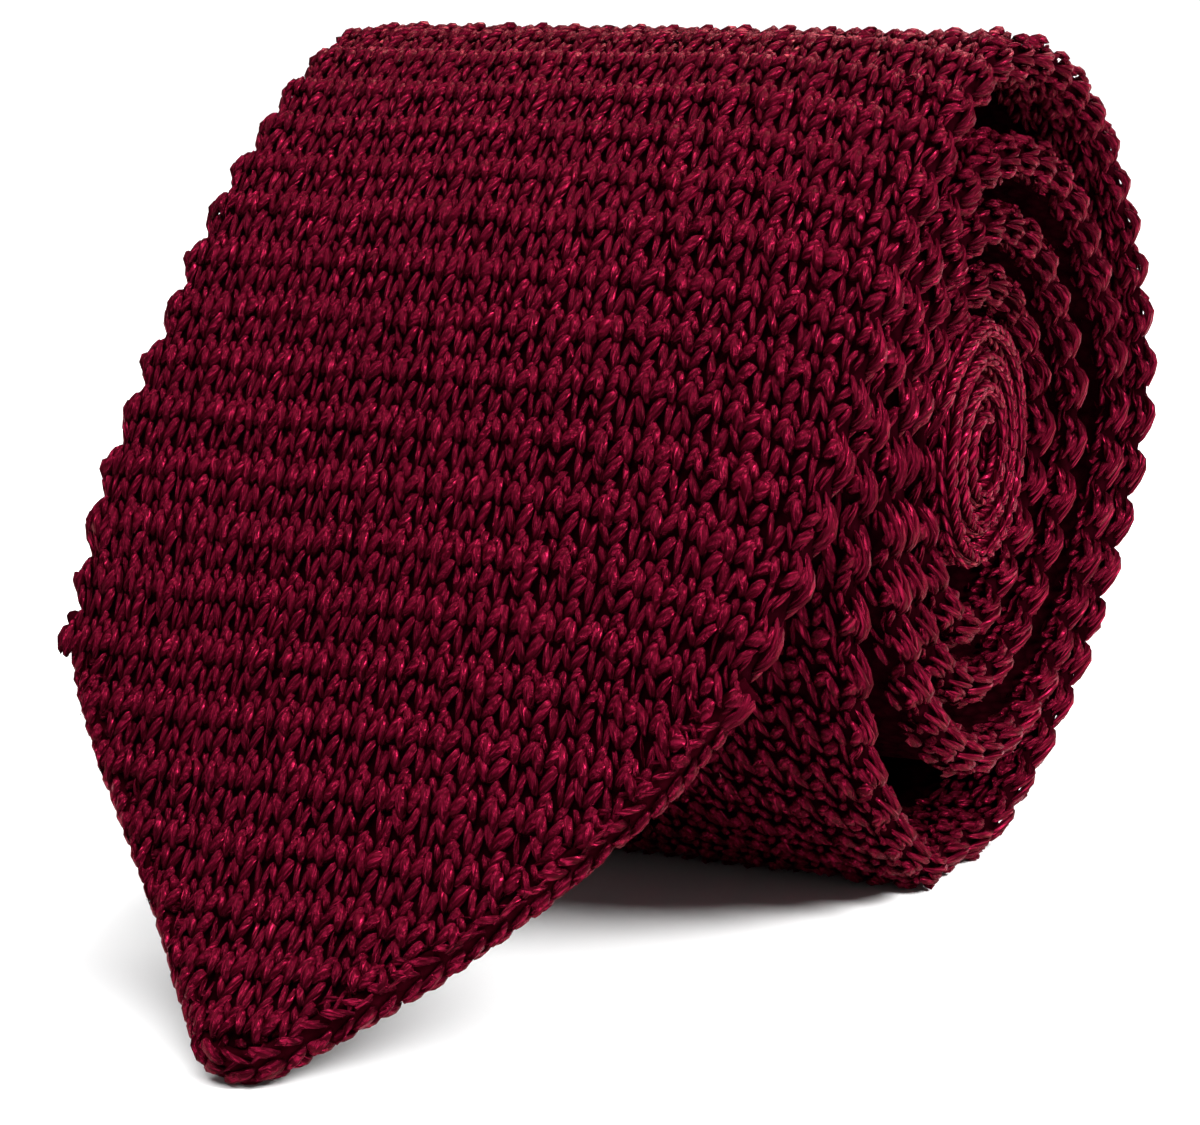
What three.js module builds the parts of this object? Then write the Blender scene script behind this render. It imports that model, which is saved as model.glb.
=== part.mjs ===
// Knit tie, rolled up and laid on a table with its pointed end leaning out in front of the roll.
// Millimetres. X runs across the tie and along the roll's axis, the point is towards -Y, the floor is z = 0.

import * as THREE from 'three';

// Sizes, each set by itself
const bladeWidth = 60;        // across the ribbed knit, over the scallops
const bladeThickness = 4;     // the flattened tube of knit, crest to crest
const ribPitch = 4.8;         // from one cross rib to the next
const ribDepth = 0.45;        // from crest to valley, on each face
const edgeScallop = 0.6;      // how far a rib's end stands out beyond the valleys beside it
const edgeRounding = 2.6;     // how far in from the edge the tube is full
const rowBow = 5;             // how far the ribs run forward at the right edge
const pointLength = 36;       // from where the point's sides would meet to its two corners
const tipRadius = 3.5;        // centre line of the hem, round the tip
const hemWidth = 2.2;         // bound edge along both sides of the point
const hemThickness = 3.4;
const neckWidth = 57;         // plain neck band, wound into the roll's core
const neckThickness = 1.9;
const neckSlack = 0.4;        // open space between two turns of the neck band
const eyeRadius = 2.2;        // open eye in the middle of the core
const rollHeight = 67.2;      // from the floor to the top of the outer turn
const tipReach = 67;          // level distance from the tip to the roll's centre
const clearance = 0.3;        // between two pieces that touch

const silkColour = 0x5e0a24;
const hemColour = 0x640c28;
const neckColour = 0x560820;

// The roll, a row for each eighth of a turn from the front of the top over to the back.
// radius: centre line of the outermost pass, a share of rollHeight.
// slack1 to slack3: open space under the first three passes, shares of bladeThickness.
// drift: how far the outermost turn has wandered along the roll, a share of bladeWidth.
const rollTable = [
  { turn: -0.125, radius: 0.402, slack1: 0.16, slack2: 0.15, slack3: 0.15, drift: 0 },
  { turn: 0, radius: 0.45, slack1: 0.9, slack2: 0.24, slack3: 0.18, drift: 0 },
  { turn: 0.125, radius: 0.51, slack1: 0.9, slack2: 0.75, slack3: 0.45, drift: 0.01 },
  { turn: 0.25, radius: 0.588, slack1: 0.4, slack2: 1.35, slack3: 0.9, drift: 0.015 },
  { turn: 0.375, radius: 0.505, slack1: 0.6, slack2: 0.85, slack3: 0.55, drift: -0.015 },
  { turn: 0.5, radius: 0.506, slack1: 1.4, slack2: 0.38, slack3: 0.2, drift: -0.05 },
  { turn: 0.625, radius: 0.432, slack1: 0.7, slack2: 0.24, slack3: 0.18, drift: -0.04 },
  { turn: 0.75, radius: 0.394, slack1: 0.18, slack2: 0.18, slack3: 0.18, drift: -0.015 },
];
const ribbedTurns = 3.82;     // where the ribs stop and the plain neck band starts

// The free end from its tip up to the roll.
// run is a share of tipReach, rise a share of the height of the top's centre line.
const rampTable = [
  { run: 0.146, rise: 0.128 },
  { run: 0.262, rise: 0.266 },
  { run: 0.369, rise: 0.412 },
  { run: 0.476, rise: 0.558 },
  { run: 0.59, rise: 0.698 },
];

// Centre line of the whole tie, side view
const topHeight = rollHeight - bladeThickness / 2;
const centreHeight = topHeight - rollTable[1].radius * rollHeight;
const restHeight = bladeThickness / 2;
const tipSlope = Math.atan2(rampTable[0].rise * topHeight, rampTable[0].run * tipReach);
const tipHeight = Math.hypot(
  hemWidth / 2 * Math.sin(tipSlope),
  hemThickness / 2 * Math.cos(tipSlope),
);

function passRadius(row, pass) {
  const slacks = [row.slack1, row.slack2, row.slack3];
  let radius = row.radius * rollHeight;
  for (let under = 0; under < pass; under += 1) {
    radius -= bladeThickness * (1 + slacks[under]);
  }
  return radius;
}

function onTurn(turn, radius) {
  const angle = 2 * Math.PI * turn;
  const y = tipReach + radius * Math.sin(angle);
  const z = centreHeight + radius * Math.cos(angle);
  return new THREE.Vector3(0, y, z);
}

function centreLinePoints() {
  const points = [new THREE.Vector3(0, 0, tipHeight)];
  for (const row of rampTable) {
    points.push(new THREE.Vector3(0, row.run * tipReach, row.rise * topHeight));
  }
  for (let pass = 0; pass <= 3; pass += 1) {
    for (const row of rollTable) {
      points.push(onTurn(pass + row.turn, passRadius(row, pass)));
    }
  }
  const neckPitch = neckThickness + neckSlack;
  const neckStart = passRadius(rollTable[0], 3)
    - (bladeThickness + neckThickness) / 2 - neckSlack;
  const eighths = Math.floor(8 * (neckStart - eyeRadius) / neckPitch);
  for (let step = 0; step <= eighths; step += 1) {
    points.push(onTurn(4 + rollTable[0].turn + step / 8, neckStart - neckPitch * step / 8));
  }
  return points;
}

// The centre line with the stretch that the floor holds up, as a table of lengths
function measuredLine() {
  const points = centreLinePoints();
  const curve = new THREE.CatmullRomCurve3(points, false, 'centripetal');
  const samples = curve.getPoints(120 * points.length);
  const line = [];
  let length = 0;
  let last = null;
  samples.forEach((sample, index) => {
    const inRoll = index > 120 * rampTable.length;
    const z = inRoll ? Math.max(sample.z, restHeight) : sample.z;
    if (last) {
      length += Math.hypot(sample.y - last.y, z - last.z);
    }
    last = { length, y: sample.y, z, share: index / (samples.length - 1) };
    line.push(last);
  });
  return line;
}

const line = measuredLine();
const lineLength = line[line.length - 1].length;

function lineAt(length) {
  let low = 0;
  let high = line.length - 1;
  while (high - low > 1) {
    const middle = (low + high) >> 1;
    if (line[middle].length <= length) {
      low = middle;
    } else {
      high = middle;
    }
  }
  const from = line[low];
  const to = line[high];
  const share = (length - from.length) / (to.length - from.length);
  return {
    y: THREE.MathUtils.lerp(from.y, to.y, share),
    z: THREE.MathUtils.lerp(from.z, to.z, share),
    share: THREE.MathUtils.lerp(from.share, to.share, share),
  };
}

// Place and outward normal of the centre line at a length from the tip
function frameAt(length) {
  const reach = ribPitch / 4;
  const before = lineAt(Math.max(length - reach, 0));
  const after = lineAt(Math.min(length + reach, lineLength));
  const here = lineAt(length);
  const along = new THREE.Vector3(0, after.y - before.y, after.z - before.z).normalize();
  return {
    place: new THREE.Vector3(0, here.y, here.z),
    normal: new THREE.Vector3(0, -along.z, along.y),
  };
}

const stretches = centreLinePoints().length - 1;
const pointsOnRamp = 1 + rampTable.length;

function lengthAtTurn(turn) {
  const index = pointsOnRamp + 8 * (turn - rollTable[0].turn);
  return line.find((sample) => sample.share >= index / stretches).length;
}

const neckLength = lengthAtTurn(ribbedTurns);

function driftAt(length) {
  const index = lineAt(length).share * stretches - pointsOnRamp;
  if (index <= 0 || index >= rollTable.length) {
    return 0;
  }
  const from = rollTable[Math.floor(index)].drift;
  const to = rollTable[Math.ceil(index) % rollTable.length].drift;
  return bladeWidth * THREE.MathUtils.lerp(from, to, index % 1);
}

function smoothStep(from, to, value) {
  return THREE.MathUtils.smoothstep(value, from, to);
}

// The pointed end, flat: lengths are from the tip of the hem's centre line
const sideSlope = Math.atan2(bladeWidth / 2, pointLength);
const virtualTip = tipRadius - (tipRadius + hemWidth / 2) / Math.sin(sideSlope);
const cornerLength = virtualTip + pointLength;
const hemInset = hemWidth + clearance;
const hemRoom = 0.9;          // rounding of the knit's edge where the hem is sewn to it
const tipRoom = tipRadius - hemWidth / 2 - clearance;
const bandStart = tipRadius - 0.7 * tipRoom;

function sideOfPoint(length, inset) {
  return (length - virtualTip) * Math.tan(sideSlope) - inset / Math.cos(sideSlope);
}

function bandHalfWidth(length) {
  const taper = smoothStep(0.45 * neckLength, neckLength, length);
  const full = THREE.MathUtils.lerp(bladeWidth, neckWidth, taper) / 2;
  return Math.min(full, sideOfPoint(length, hemInset));
}

function bowAt(length, side) {
  const share = Math.max(0, (side - 0.25) / 0.75);
  const fadeIn = smoothStep(bandStart, cornerLength, length);
  const fadeOut = 1 - smoothStep(0.7 * neckLength, 0.95 * neckLength, length);
  return rowBow * share * share * fadeIn * fadeOut;
}

// A closed body through rings of points, all with the same number of points
function bodyThrough(rings) {
  const around = rings[0].length;
  const positions = rings.flat().flatMap((point) => [point.x, point.y, point.z]);
  const faces = [];
  for (let ring = 0; ring < rings.length - 1; ring += 1) {
    for (let side = 0; side < around; side += 1) {
      const next = (side + 1) % around;
      const a = ring * around + side;
      const b = ring * around + next;
      faces.push(a, b, b + around, a, b + around, a + around);
    }
  }
  const last = (rings.length - 1) * around;
  for (let side = 1; side < around - 1; side += 1) {
    faces.push(0, side + 1, side);
    faces.push(last, last + side, last + side + 1);
  }
  const geometry = new THREE.BufferGeometry();
  geometry.setAttribute('position', new THREE.Float32BufferAttribute(positions, 3));
  geometry.setIndex(faces);
  geometry.computeVertexNormals();
  return geometry;
}

// Section of a flattened tube. inset is measured in from the edge as a share of edgeRounding,
// side is a share of the half width for the points between, height a share of the half thickness.
const tubeSection = [
  { edge: -1, inset: 0, height: 0 },
  { edge: -1, inset: 0.22, height: 0.62 },
  { edge: -1, inset: 1, height: 1 },
  { side: 0.25, height: 1 },
  { side: 0.65, height: 1 },
  { edge: 1, inset: 1, height: 1 },
  { edge: 1, inset: 0.22, height: 0.62 },
  { edge: 1, inset: 0, height: 0 },
];
const aroundTube = [
  ...tubeSection,
  ...tubeSection.slice(1, -1).reverse().map((row) => ({ ...row, height: -row.height })),
];

function acrossTube(row, halfWidth, rounding) {
  if (row.edge === undefined) {
    return row.side * halfWidth;
  }
  const inset = row.inset * Math.min(rounding, 0.3 * halfWidth);
  return row.edge * (halfWidth - inset);
}

// Where the floor presses the tie flat, its lower face has no ribs
function isPressed(length) {
  return length > cornerLength && lineAt(length).z < restHeight + 0.02;
}

function ribbedRing(length, isCrest, thickness) {
  return aroundTube.map((row) => {
    const free = smoothStep(cornerLength - ribPitch, cornerLength + ribPitch, length);
    const scallop = isCrest ? 0 : edgeScallop * free;
    const rounding = THREE.MathUtils.lerp(hemRoom, edgeRounding, free);
    const rough = acrossTube(row, bandHalfWidth(length), rounding);
    const shifted = length - bowAt(length, rough / (bladeWidth / 2));
    const halfWidth = Math.max(bandHalfWidth(shifted) - scallop, 0.6);
    const { place, normal } = frameAt(shifted);
    const pressed = row.height > 0 && isPressed(shifted);
    const half = thickness / 2 - (isCrest || pressed ? 0 : ribDepth);
    place.x = acrossTube(row, halfWidth, rounding) + driftAt(shifted);
    return place.addScaledVector(normal, row.height * half);
  });
}

function ribbedBand() {
  const rings = [];
  const end = neckLength - clearance;
  const steps = Math.round((end - bandStart) / (ribPitch / 2));
  for (let step = 0; step <= steps; step += 1) {
    const length = bandStart + (end - bandStart) * step / steps;
    const thinning = smoothStep(end - 3 * ribPitch, end, length);
    const tip = 1 - smoothStep(bandStart, bandStart + ribPitch, length);
    const thickness = bladeThickness
      + (neckThickness - bladeThickness) * thinning
      + (hemThickness - bladeThickness) * tip;
    rings.push(ribbedRing(length, step % 2 === 0, thickness));
  }
  return bodyThrough(rings);
}

// Plain band, wound into the core: an oval section
const neckSection = [
  { edge: -1, inset: 0, height: 0 },
  { edge: -1, inset: 0.3, height: 0.8 },
  { edge: -1, inset: 1, height: 1 },
  { edge: 1, inset: 1, height: 1 },
  { edge: 1, inset: 0.3, height: 0.8 },
  { edge: 1, inset: 0, height: 0 },
];
const aroundNeck = [
  ...neckSection,
  ...neckSection.slice(1, -1).reverse().map((row) => ({ ...row, height: -row.height })),
];

function neckBand() {
  const rings = [];
  const start = neckLength;
  const pitch = 2.6;
  const steps = Math.round((lineLength - start) / pitch);
  for (let step = 0; step <= steps; step += 1) {
    const { place, normal } = frameAt(start + (lineLength - start) * step / steps);
    rings.push(aroundNeck.map((row) => {
      const point = place.clone().addScaledVector(normal, row.height * neckThickness / 2);
      point.x = row.edge * (neckWidth / 2 - row.inset * neckThickness / 2);
      return point;
    }));
  }
  return bodyThrough(rings);
}

// Centre line of the hem, flat: down the left side, round the tip and up the right side
function hemLine() {
  const arcEnd = Math.PI / 2 - sideSlope;
  const half = [];
  const arcSteps = 4;
  for (let step = 0; step <= arcSteps; step += 1) {
    const angle = arcEnd * step / arcSteps;
    half.push({ side: tipRadius * Math.sin(angle), length: tipRadius * (1 - Math.cos(angle)) });
  }
  const last = (bladeWidth / 2 - hemWidth / 2 * Math.cos(sideSlope));
  const first = half[half.length - 1];
  const run = last - first.side;
  const sideSteps = 2 * Math.round(run / Math.sin(sideSlope) / ribPitch);
  for (let step = 1; step <= sideSteps; step += 1) {
    const side = first.side + run * step / sideSteps;
    half.push({ side, length: first.length + (side - first.side) / Math.tan(sideSlope) });
  }
  const left = half.slice(1).reverse().map((row) => ({ side: -row.side, length: row.length }));
  return [...left, ...half];
}

function pointHem() {
  const flat = hemLine();
  const around = 8;
  const places = flat.map((row) => {
    const { place, normal } = frameAt(row.length);
    place.x = row.side;
    return { place, normal };
  });
  const rings = places.map(({ place, normal }, index) => {
    const before = places[Math.max(index - 1, 0)].place;
    const after = places[Math.min(index + 1, places.length - 1)].place;
    const along = after.clone().sub(before).normalize();
    const across = along.clone().cross(normal).normalize();
    const ring = [];
    for (let step = 0; step < around; step += 1) {
      const angle = -2 * Math.PI * step / around;
      const point = place.clone();
      point.addScaledVector(across, hemWidth / 2 * Math.cos(angle));
      point.addScaledVector(normal, hemThickness / 2 * Math.sin(angle));
      ring.push(point);
    }
    return ring;
  });
  return bodyThrough(rings);
}

function knitPiece(name, geometry, color) {
  const material = new THREE.MeshStandardMaterial({ color, roughness: 0.62, metalness: 0 });
  const mesh = new THREE.Mesh(geometry, material);
  mesh.name = name;
  return mesh;
}

const tie = new THREE.Group();
tie.add(knitPiece('ribbed_blade', ribbedBand(), silkColour));
tie.add(knitPiece('plain_neck_band', neckBand(), neckColour));
tie.add(knitPiece('point_hem', pointHem(), hemColour));

// The middle of the footprint is the origin
const middle = new THREE.Box3().setFromObject(tie).getCenter(new THREE.Vector3());
tie.position.set(-middle.x, -middle.y, 0);

export default tie;
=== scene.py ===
import math

import bmesh
import bpy
import numpy as np
from mathutils import Matrix, Vector


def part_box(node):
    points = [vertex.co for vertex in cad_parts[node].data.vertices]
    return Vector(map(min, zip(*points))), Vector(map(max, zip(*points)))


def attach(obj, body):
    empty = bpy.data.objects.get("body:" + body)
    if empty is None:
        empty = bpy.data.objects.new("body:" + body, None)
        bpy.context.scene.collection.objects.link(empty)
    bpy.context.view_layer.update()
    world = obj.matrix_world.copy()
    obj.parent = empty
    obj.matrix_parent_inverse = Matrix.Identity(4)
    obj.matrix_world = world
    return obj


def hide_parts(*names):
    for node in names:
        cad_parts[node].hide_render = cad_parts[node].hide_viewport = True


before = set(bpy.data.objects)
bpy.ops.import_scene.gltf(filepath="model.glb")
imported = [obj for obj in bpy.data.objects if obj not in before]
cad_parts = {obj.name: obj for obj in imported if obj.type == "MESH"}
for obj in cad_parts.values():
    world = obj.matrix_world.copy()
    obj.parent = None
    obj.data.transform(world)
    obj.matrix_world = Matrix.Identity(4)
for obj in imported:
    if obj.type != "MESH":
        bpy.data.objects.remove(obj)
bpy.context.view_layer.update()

mm = 0.001
dice = np.random.default_rng(7)

# The tie as it lies, in millimetres: the point towards -Y, the roll's axis along X
tie = {
    "bladeWidth": 60.0,
    "thickness": 4.0,
    "ribPitch": 4.8,
    "edgeScallop": 0.9,
    "edgeRounding": 2.6,
    "pointLength": 36.0,
    "tipRadius": 3.5,
    "hemWidth": 2.2,
    "hemThickness": 3.4,
    "neckWidth": 57.0,
    "neckThickness": 1.9,
    "neckSlack": 0.4,
    "eyeRadius": 2.2,
    "rollHeight": 67.2,
    "tipReach": 67.0,
    "clearance": 0.3,
    "ribbedTurns": 3.82,
    "floorLift": 0.05,
}

# A row for each eighth of a turn: turn, radius as a share of rollHeight,
# open space under passes 1 to 3 as shares of the thickness, drift as a share of bladeWidth
rollRows = [
    (-0.125, 0.402, (0.16, 0.15, 0.15), 0.0),
    (0.0, 0.45, (0.9, 0.24, 0.18), 0.0),
    (0.125, 0.51, (0.9, 0.75, 0.45), 0.01),
    (0.25, 0.588, (0.4, 1.35, 0.9), 0.015),
    (0.375, 0.505, (0.6, 0.85, 0.55), -0.015),
    (0.5, 0.506, (1.4, 0.38, 0.2), -0.05),
    (0.625, 0.432, (0.7, 0.24, 0.18), -0.04),
    (0.75, 0.394, (0.18, 0.18, 0.18), -0.015),
]
# The free end from its tip: run as a share of tipReach, rise as a share of the top's height
rampRows = [(0.146, 0.128), (0.262, 0.266), (0.369, 0.412), (0.476, 0.558), (0.59, 0.698)]

topHeight = tie["rollHeight"] - tie["thickness"] / 2
centreHeight = topHeight - rollRows[1][1] * tie["rollHeight"]
restHeight = tie["thickness"] / 2
tipSlope = math.atan2(rampRows[0][1] * topHeight, rampRows[0][0] * tie["tipReach"])
tipHeight = math.hypot(
    tie["hemWidth"] / 2 * math.sin(tipSlope), tie["hemThickness"] / 2 * math.cos(tipSlope))
pointsOnRamp = 1 + len(rampRows)
perSpan = 80


def passRadius(row, passed):
    taken = sum(tie["thickness"] * (1 + row[2][k]) for k in range(passed))
    return row[1] * tie["rollHeight"] - taken


def onTurn(turn, radius):
    angle = 2 * math.pi * turn
    return (tie["tipReach"] + radius * math.sin(angle), centreHeight + radius * math.cos(angle))


def linePoints():
    points = [(0.0, tipHeight)]
    points += [(run * tie["tipReach"], rise * topHeight) for run, rise in rampRows]
    points += [onTurn(k + row[0], passRadius(row, k)) for k in range(4) for row in rollRows]
    neckPitch = tie["neckThickness"] + tie["neckSlack"]
    neckStart = passRadius(rollRows[0], 3)
    neckStart -= (tie["thickness"] + tie["neckThickness"]) / 2 + tie["neckSlack"]
    eighths = math.floor(8 * (neckStart - tie["eyeRadius"]) / neckPitch)
    for step in range(eighths + 1):
        turn = 4 + rollRows[0][0] + step / 8
        points.append(onTurn(turn, neckStart - neckPitch * step / 8))
    return np.array(points)


def smoothLine(points, steps):
    # a centripetal spline through the points, each stretch cut into equal steps
    ends = np.vstack([2 * points[0] - points[1], points, 2 * points[-1] - points[-2]])
    made = []
    for k in range(len(points) - 1):
        a, b, c, d = ends[k:k + 4]
        gaps = [math.sqrt(math.dist(p, q)) for p, q in ((a, b), (b, c), (c, d))]
        leave = (b - a) / gaps[0] - (c - a) / (gaps[0] + gaps[1]) + (c - b) / gaps[1]
        reach = (c - b) / gaps[1] - (d - b) / (gaps[1] + gaps[2]) + (d - c) / gaps[2]
        leave, reach = leave * gaps[1], reach * gaps[1]
        t = np.arange(steps)[:, None] / steps
        made.append(
            b + leave * t + (3 * (c - b) - 2 * leave - reach) * t ** 2
            + (2 * (b - c) + leave + reach) * t ** 3)
    return np.vstack(made + [points[-1:]])


knots = linePoints()
line = smoothLine(knots, perSpan)
inRoll = np.arange(len(line)) > perSpan * len(rampRows)
line[:, 1] = np.where(inRoll, np.maximum(line[:, 1], restHeight), line[:, 1])
lineLengths = np.concatenate([[0], np.cumsum(np.hypot(*np.diff(line, axis=0).T))])
lineLength = lineLengths[-1]


def lengthAtTurn(turn):
    return lineLengths[round(perSpan * (pointsOnRamp + 8 * (turn - rollRows[0][0])))]


neckLength = lengthAtTurn(tie["ribbedTurns"])
sideSlope = math.atan2(tie["bladeWidth"] / 2, tie["pointLength"])
virtualTip = tie["tipRadius"] - (tie["tipRadius"] + tie["hemWidth"] / 2) / math.sin(sideSlope)
cornerLength = virtualTip + tie["pointLength"]
hemInset = tie["hemWidth"] + tie["clearance"]
tipRoom = tie["tipRadius"] - tie["hemWidth"] / 2 - tie["clearance"]
bandStart = tie["tipRadius"] - 0.7 * tipRoom

# The CAD's hem runs evenly to both sides of the blade's middle, and its back is the roll's back
hemLow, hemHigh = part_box("point_hem")
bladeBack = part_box("ribbed_blade")[1].y
middleX = (hemLow.x + hemHigh.x) / 2 / mm
shiftY = bladeBack / mm - (line[:, 0].max() + tie["thickness"] / 2)


def smoothStep(low, high, value):
    t = np.clip((value - low) / (high - low), 0, 1)
    return t * t * (3 - 2 * t)


def lineAt(length):
    # before its first point the line runs straight on
    before = np.minimum(length, 0)
    y = np.interp(length, lineLengths, line[:, 0]) + before * math.cos(tipSlope)
    z = np.interp(length, lineLengths, line[:, 1]) + before * math.sin(tipSlope)
    return y, z


def sideOfPoint(length, inset):
    return (length - virtualTip) * math.tan(sideSlope) - inset / math.cos(sideSlope)


def fullHalfWidth(length):
    taper = smoothStep(0.45 * neckLength, neckLength, length)
    return (tie["bladeWidth"] + (tie["neckWidth"] - tie["bladeWidth"]) * taper) / 2


# The ribs bow forward on the right: how far, from which share of the half width on,
# and between which shares of the ribbed length this fades out
bow = {"size": 5.0, "start": 0.25, "fadeLow": 0.7, "fadeHigh": 0.95}


def bowAt(length, x):
    share = np.maximum(0, (x / (tie["bladeWidth"] / 2) - bow["start"]) / (1 - bow["start"]))
    fadeIn = smoothStep(bandStart, cornerLength, length)
    fadeOut = 1 - smoothStep(bow["fadeLow"] * neckLength, bow["fadeHigh"] * neckLength, length)
    return bow["size"] * share * share * fadeIn * fadeOut


driftStops = np.arange(len(rollRows) + 1)
driftRows = [row[3] * tie["bladeWidth"] for row in rollRows] + [0.0]


def driftAt(length):
    stretch = np.interp(length, lineLengths, np.arange(len(line)) / perSpan) - pointsOnRamp
    return np.interp(stretch, driftStops, driftRows, left=0, right=0)


def crestWave(length):
    # 1 on a rib's crest, 0 in the valley
    return 0.5 + 0.5 * np.cos(2 * math.pi * (length - bandStart) / tie["ribPitch"])


# How far the knit pulls in at the point's right and left corner, growing between two distances
# from the middle, and how far this reaches along the tie
cornerPull = {"right": 2.4, "left": 1.6, "low": 12, "high": 30, "reach": 7}


def placed(x, length, height):
    # x across the tie, length from its tip, height over the band's middle: to metres in the scene
    step = tie["ribPitch"] / 4
    y0, z0 = lineAt(length - step)
    y1, z1 = lineAt(np.minimum(length + step, lineLength))
    y, z = lineAt(length)
    size = np.hypot(y1 - y0, z1 - z0)
    y = y - (z1 - z0) / size * height
    z = z + (y1 - y0) / size * height
    z = np.maximum(z, tie["floorLift"])
    low, high = cornerPull["low"], cornerPull["high"]
    pull = cornerPull["right"] * smoothStep(low, high, x)
    pull = pull - cornerPull["left"] * smoothStep(low, high, -x)
    x = x - pull * np.exp(-((length - cornerLength) / cornerPull["reach"]) ** 2)
    x = x + driftAt(length) + middleX
    return np.stack([x, y + shiftY, z], axis=-1) * mm


def roundTube(around, out, shape):
    # around the flattened tube from the middle of its outer face, out from its surface
    nominal, fold, flat, edge, half = shape
    size = np.abs(around)
    turn = np.clip((size - nominal) / fold, 0, 1) * math.pi
    x = np.where(size < nominal, size * flat / nominal, flat + edge * np.sin(turn))
    x = x - np.maximum(size - nominal - fold, 0) * flat / nominal
    leanX, leanZ = np.sin(turn) / edge, np.cos(turn) / half
    lean = np.hypot(leanX, leanZ)
    return np.sign(around) * (x + out * leanX / lean), half * np.cos(turn) + out * leanZ / lean


def foldLength(edge, half):
    return math.pi * math.sqrt((edge ** 2 + half ** 2) / 2)


bladeFlat = tie["bladeWidth"] / 2 - tie["edgeRounding"]
bladeFold = foldLength(tie["edgeRounding"], tie["thickness"] / 2)
neckHalf = tie["neckThickness"] / 2
neckFlat = tie["neckWidth"] / 2 - neckHalf


def onBlade(around, length, out):
    flat = fullHalfWidth(length) - tie["edgeRounding"]
    edge = tie["edgeRounding"] - tie["edgeScallop"] * (1 - np.maximum(crestWave(length), 0) ** 0.6)
    thinning = smoothStep(neckLength - 3 * tie["ribPitch"], neckLength, length)
    half = (tie["thickness"] + (tie["neckThickness"] - tie["thickness"]) * thinning) / 2
    x, height = roundTube(around, out, (bladeFlat, bladeFold, flat, edge, half))
    return placed(x, length - bowAt(length, x), height)


def onNeck(around, length, out):
    shape = (neckFlat, foldLength(neckHalf, neckHalf), neckFlat, neckHalf, neckHalf)
    x, height = roundTube(around, out, shape)
    return placed(x, length, height)


def hemPath(along):
    # the hem's centre line, flat, by the length along it from the tip: place and outward direction
    size, sign = np.abs(along), np.sign(along)
    bend = math.pi / 2 - sideSlope
    angle = np.minimum(size / tie["tipRadius"], bend)
    past = np.maximum(size - tie["tipRadius"] * bend, 0)
    side = tie["tipRadius"] * np.sin(angle) + past * math.sin(sideSlope)
    length = tie["tipRadius"] * (1 - np.cos(angle)) + past * math.cos(sideSlope)
    return sign * side, length, sign * np.sin(angle), -np.cos(angle)


hemRound = 2 * foldLength(tie["hemWidth"] / 2, tie["hemThickness"] / 2)
hemReach = tie["tipRadius"] * (math.pi / 2 - sideSlope) + (
    tie["bladeWidth"] / 2 - tie["hemWidth"] / 2 * math.cos(sideSlope)
    - tie["tipRadius"] * math.cos(sideSlope)) / math.sin(sideSlope)


def onHem(around, along, out):
    # around is measured from the middle of the hem's upper face, outwards past the edge
    side, length, outX, outLength = hemPath(along)
    turn = math.pi / 2 - around * 2 * math.pi / hemRound
    across = (tie["hemWidth"] / 2 + out) * np.cos(turn)
    height = (tie["hemThickness"] / 2 + out) * np.sin(turn)
    return placed(side + outX * across, length + outLength * across, height)


# Stitches

knit = {
    "wales": 76,          # columns of stitches round the tube
    "jitter": 0.035,      # a leg's shift, in columns and in ribs
    "swell": 0.07,        # how much a leg's size varies
    "depth": 0.36,        # a leg's middle under the knit's outer surface
    "ribsBefore": 2.18,   # how far before the band's start the first rib begins, in ribs
    "overHem": 0.3,       # how far inside the point's outline the last legs lie
    "backInset": 0.4,     # and how far inside the hem on the back
    "wander": (0.12, 0.22),  # slow wandering across and along
    "rollOff": 0.12,      # how strongly the knit sinks near the point's outline
    "rollOffFrom": 1.9,   # from how far inside it
    "rollOffReach": 1.7,
    "tuckFrom": 0.35,     # what lies nearer to the outline is drawn in
    "tuck": 0.85,
}
tubeRound = 4 * bladeFlat + 2 * bladeFold
wale = tubeRound / knit["wales"]
foldMiddle = tubeRound / 4

# The columns are stretched wider to the right: even places across, and the true ones
evenPlaces = [-foldMiddle, -7.0, 6.05, 11.9, 23.0, foldMiddle]
truePlaces = [-foldMiddle, -10.0, 2.0, 8.0, 21.0, foldMiddle]

# The legs of one rib's stitches, for each of the two kinds of column that take turns:
# top and foot, each across in columns and down from the rib's start in ribs,
# width in columns, and the heights of top and foot in millimetres
tuckedColumn = [
    ((-0.55, -0.02), (-0.04, 0.40), 0.40, -0.10, -0.50),
    ((0.56, -0.04), (0.04, 0.40), 0.47, 0.12, -0.48),
    ((0.47, 0.32), (0.18, 0.64), 0.40, -0.06, -0.42),
    ((-0.26, 0.42), (0.02, 0.70), 0.31, -0.18, -0.44),
    ((-0.46, 0.56), (-0.12, 1.04), 0.46, 0.12, -0.22),
    ((0.56, 0.58), (0.14, 0.99), 0.45, 0.20, -0.16),
]
longColumn = [
    ((-0.24, -0.06), (0.00, 0.52), 0.33, -0.26, -0.54),
    ((0.36, 0.04), (0.22, 0.58), 0.34, -0.24, -0.52),
    ((-0.44, 0.42), (-0.14, 0.74), 0.38, -0.12, -0.40),
    ((0.32, 0.46), (0.06, 0.76), 0.37, -0.08, -0.38),
    ((-0.46, 0.66), (-0.12, 1.12), 0.50, 0.24, -0.20),
    ((0.48, 0.68), (0.04, 1.02), 0.46, 0.34, -0.02),
]


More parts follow.
